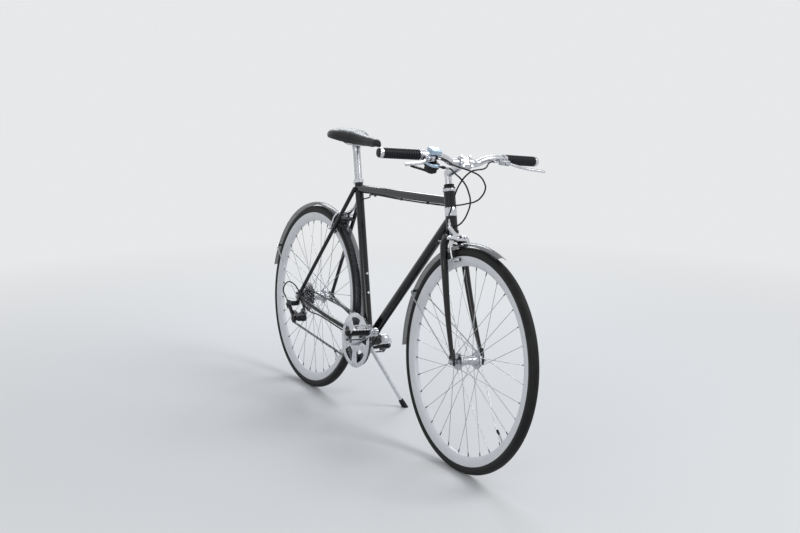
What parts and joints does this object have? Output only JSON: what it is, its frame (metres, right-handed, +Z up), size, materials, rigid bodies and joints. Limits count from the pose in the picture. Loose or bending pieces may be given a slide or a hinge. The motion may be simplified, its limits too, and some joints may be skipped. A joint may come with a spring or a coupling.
{
  "type": "city bicycle",
  "caption": "Diamond-frame city bicycle on its side stand, with fenders, caliper brakes, flat bar, saddle, chain drive with derailleur, chain guard ring and platform pedals.",
  "frame": {"origin": "centre of the bottom of the bounding box, on the ground, as the bicycle stands on its stand", "axes": "+X forward from the rear wheel to the front wheel, +Y to the rider's left, +Z up; the bicycle leans 5.73 degrees towards +Y on its stand"},
  "size_m": [1.7202, 0.5834, 0.9839],
  "materials": {
    "frame_paint": "gloss black enamel",
    "polished_alloy": "polished",
    "satin_alloy": "satin",
    "bright_steel": "bright",
    "dark_steel": "dark, oiled",
    "rim_enamel": "light grey coating",
    "tire_rubber": "matte",
    "grip_rubber": "matte",
    "black_plastic": "satin black",
    "saddle_cover": "smooth black cover over foam",
    "smoked_plastic": "smoky, see-through",
    "cable_housing": "black"
  },
  "bodies": {
    "frame": {"head_tube": "frame_paint", "headset_upper_cup": "black_plastic", "top_tube": "frame_paint", "down_tube": "frame_paint", "seat_tube": "frame_paint", "bottom_bracket_cartridge": "dark_steel", "seat_collar": "polished_alloy", "chainstays": "frame_paint", "seatstays": "frame_paint", "rear_axle": "bright_steel", "rear_fender": "smoked_plastic", "rear_fender_stay": "bright_steel", "chain": "dark_steel", "derailleur_body": "black_plastic", "shift_cable": "cable_housing", "rear_brake_cable": "cable_housing"},
    "seat": {"seatpost": "satin_alloy", "saddle_rails": "dark_steel", "saddle": "saddle_cover"},
    "steering": {"fork": "frame_paint", "headset_locknut": "satin_alloy", "stem": "polished_alloy", "stem_faceplate": "polished_alloy", "handlebar": "satin_alloy", "grip_left": "grip_rubber", "grip_right": "grip_rubber", "lever_bracket_left": "satin_alloy", "lever_bracket_right": "satin_alloy", "shifter_body": "black_plastic", "front_fender": "smoked_plastic", "front_fender_stay": "bright_steel", "front_axle": "bright_steel", "front_brake_cable": "cable_housing"},
    "front_wheel": {"front_hub": "bright_steel", "front_rim": "rim_enamel", "front_tire": "tire_rubber"},
    "rear_wheel": {"rear_hub": "bright_steel", "rear_rim": "rim_enamel", "rear_tire": "tire_rubber"},
    "crankset": {"crank_right": "polished_alloy", "crank_left": "polished_alloy", "chainring": "satin_alloy", "chainring_guard": "polished_alloy", "crank_axle": "bright_steel"},
    "cassette": {"cassette": "bright_steel"},
    "right_pedal": {"pedal_right": "satin_alloy"},
    "left_pedal": {"pedal_left": "satin_alloy"},
    "left_brake_lever": {"brake_lever_left": "polished_alloy"},
    "right_brake_lever": {"brake_lever_right": "polished_alloy"},
    "front_barrel_arm": {"front_brake_arm_right": "polished_alloy"},
    "front_clamp_arm": {"front_brake_arm_left": "polished_alloy"},
    "rear_barrel_arm": {"rear_brake_arm_left": "polished_alloy"},
    "rear_clamp_arm": {"rear_brake_arm_right": "polished_alloy"},
    "shift_paddle": {"shifter_paddle": "black_plastic"},
    "derailleur_arm": {"derailleur_link": "black_plastic"},
    "derailleur_head": {"derailleur_knuckle": "black_plastic"},
    "derailleur_cage": {"derailleur_cage": "dark_steel"},
    "guide_pulley": {"guide_jockey": "black_plastic"},
    "tension_pulley": {"tension_jockey": "black_plastic"},
    "kickstand": {"kickstand_leg": "satin_alloy"}
  },
  "joints": [
    {"name": "steering", "type": "hinge", "parent": "frame", "child": "steering", "pos_m": [0.48945, -0.06118, 0.33156], "axis": [-0.2924, 0.0955, 0.9515], "range_deg": [-55, 55], "deforming": ["rear_brake_cable", "shift_cable"]},
    {"name": "front_wheel_spin", "type": "hinge", "parent": "steering", "child": "front_wheel", "pos_m": [0.51814, -0.0603, 0.34029], "axis": [0, 0.995, -0.0998], "continuous": true},
    {"name": "rear_wheel_spin", "type": "hinge", "parent": "frame", "child": "rear_wheel", "pos_m": [-0.50886, -0.0603, 0.34029], "axis": [0, 0.995, -0.0998], "continuous": true},
    {"name": "crank_spin", "type": "hinge", "parent": "frame", "child": "crankset", "pos_m": [-0.07886, -0.06729, 0.27064], "axis": [0, 0.995, -0.0998], "range_deg": [-18, 285], "deforming": ["chain"]},
    {"name": "cassette_spin", "type": "hinge", "parent": "frame", "child": "cassette", "pos_m": [-0.50886, -0.0603, 0.34029], "axis": [0, 0.995, -0.0998], "range_deg": [-44.97, 704.62]},
    {"name": "right_pedal_spin", "type": "hinge", "parent": "crankset", "child": "right_pedal", "pos_m": [0.07876, -0.19526, 0.34748], "axis": [0, 0.995, -0.0998], "continuous": true},
    {"name": "left_pedal_spin", "type": "hinge", "parent": "crankset", "child": "left_pedal", "pos_m": [-0.23648, 0.06068, 0.1938], "axis": [0, 0.995, -0.0998], "continuous": true},
    {"name": "left_lever_pull", "type": "hinge", "parent": "steering", "child": "left_brake_lever", "pos_m": [0.42202, 0.14152, 0.91937], "axis": [0.3069, 0.095, 0.947], "range_deg": [0, 25], "stiffness_Nm_per_rad": 0.6, "springref_deg": -34.38},
    {"name": "right_lever_pull", "type": "hinge", "parent": "steering", "child": "right_brake_lever", "pos_m": [0.42202, -0.14305, 0.94793], "axis": [-0.3069, -0.095, -0.947], "range_deg": [0, 25], "stiffness_Nm_per_rad": 0.6, "springref_deg": -34.38},
    {"name": "front_barrel_arm_turn", "type": "hinge", "parent": "steering", "child": "front_barrel_arm", "pos_m": [0.40428, -0.02442, 0.69791], "axis": [0.9563, 0.0292, 0.2909], "range_deg": [0, 1.65]},
    {"name": "front_clamp_arm_turn", "type": "hinge", "parent": "steering", "child": "front_clamp_arm", "pos_m": [0.40516, -0.0063, 0.69321], "axis": [-0.9563, -0.0292, -0.2909], "range_deg": [0, 1.65]},
    {"name": "rear_barrel_arm_turn", "type": "hinge", "parent": "frame", "child": "rear_barrel_arm", "pos_m": [-0.3283, -0.02727, 0.66949], "axis": [-0.8489, 0.0528, 0.5259], "range_deg": [0, 1.65]},
    {"name": "rear_clamp_arm_turn", "type": "hinge", "parent": "frame", "child": "rear_clamp_arm", "pos_m": [-0.32988, -0.04593, 0.6688], "axis": [0.8489, -0.0528, -0.5259], "range_deg": [0, 1.65]},
    {"name": "shift_paddle_push", "type": "hinge", "parent": "steering", "child": "shift_paddle", "pos_m": [0.38695, -0.11622, 0.90477], "axis": [-0.3069, -0.095, -0.947], "range_deg": [0, 25], "stiffness_Nm_per_rad": 0.15, "springref_deg": -28.65},
    {"name": "derailleur_swing", "type": "hinge", "parent": "frame", "child": "derailleur_arm", "pos_m": [-0.54186, -0.15434, 0.30953], "axis": [0.6419, 0.0766, 0.7629], "range_deg": [-5, 7], "deforming": ["chain"]},
    {"name": "derailleur_head_turn", "type": "hinge", "parent": "derailleur_arm", "child": "derailleur_head", "pos_m": [-0.49886, -0.15794, 0.27371], "axis": [0.6419, 0.0766, 0.7629], "range_deg": [-7.5, 5.5]},
    {"name": "cage_tension", "type": "hinge", "parent": "derailleur_head", "child": "derailleur_cage", "pos_m": [-0.47986, -0.11784, 0.26767], "axis": [0, 0.995, -0.0998], "range_deg": [-50, 5], "stiffness_Nm_per_rad": 0.3, "deforming": ["chain"]},
    {"name": "guide_pulley_spin", "type": "hinge", "parent": "derailleur_cage", "child": "guide_pulley", "pos_m": [-0.51736, -0.11071, 0.27359], "axis": [0, 0.995, -0.0998], "range_deg": [-1088.68, 69.23]},
    {"name": "tension_pulley_spin", "type": "hinge", "parent": "derailleur_cage", "child": "tension_pulley", "pos_m": [-0.58493, -0.11289, 0.2519], "axis": [0, 0.995, -0.0998], "range_deg": [-69.23, 1088.68]},
    {"name": "seatpost_slide", "type": "slide", "parent": "frame", "child": "seat", "axis": [-0.2974, 0.0953, 0.95], "range_m": [-0.08, 0.06]},
    {"name": "kickstand_fold", "type": "hinge", "parent": "frame", "child": "kickstand", "pos_m": [-0.12886, -0.04914, 0.25123], "axis": [-0.1754, 0.9834, 0.0466], "range_deg": [0, 100]}
  ],
  "couplings": [
    {"joint": "cassette_spin", "follows": "crank_spin", "ratio": 2.4706},
    {"joint": "guide_pulley_spin", "follows": "crank_spin", "ratio": -3.8182},
    {"joint": "tension_pulley_spin", "follows": "crank_spin", "ratio": 3.8182},
    {"joint": "front_barrel_arm_turn", "follows": "left_lever_pull", "ratio": 0.064},
    {"joint": "front_clamp_arm_turn", "follows": "left_lever_pull", "ratio": 0.064},
    {"joint": "rear_barrel_arm_turn", "follows": "right_lever_pull", "ratio": 0.064},
    {"joint": "rear_clamp_arm_turn", "follows": "right_lever_pull", "ratio": 0.064},
    {"joint": "derailleur_head_turn", "follows": "derailleur_swing", "ratio": -1}
  ]
}
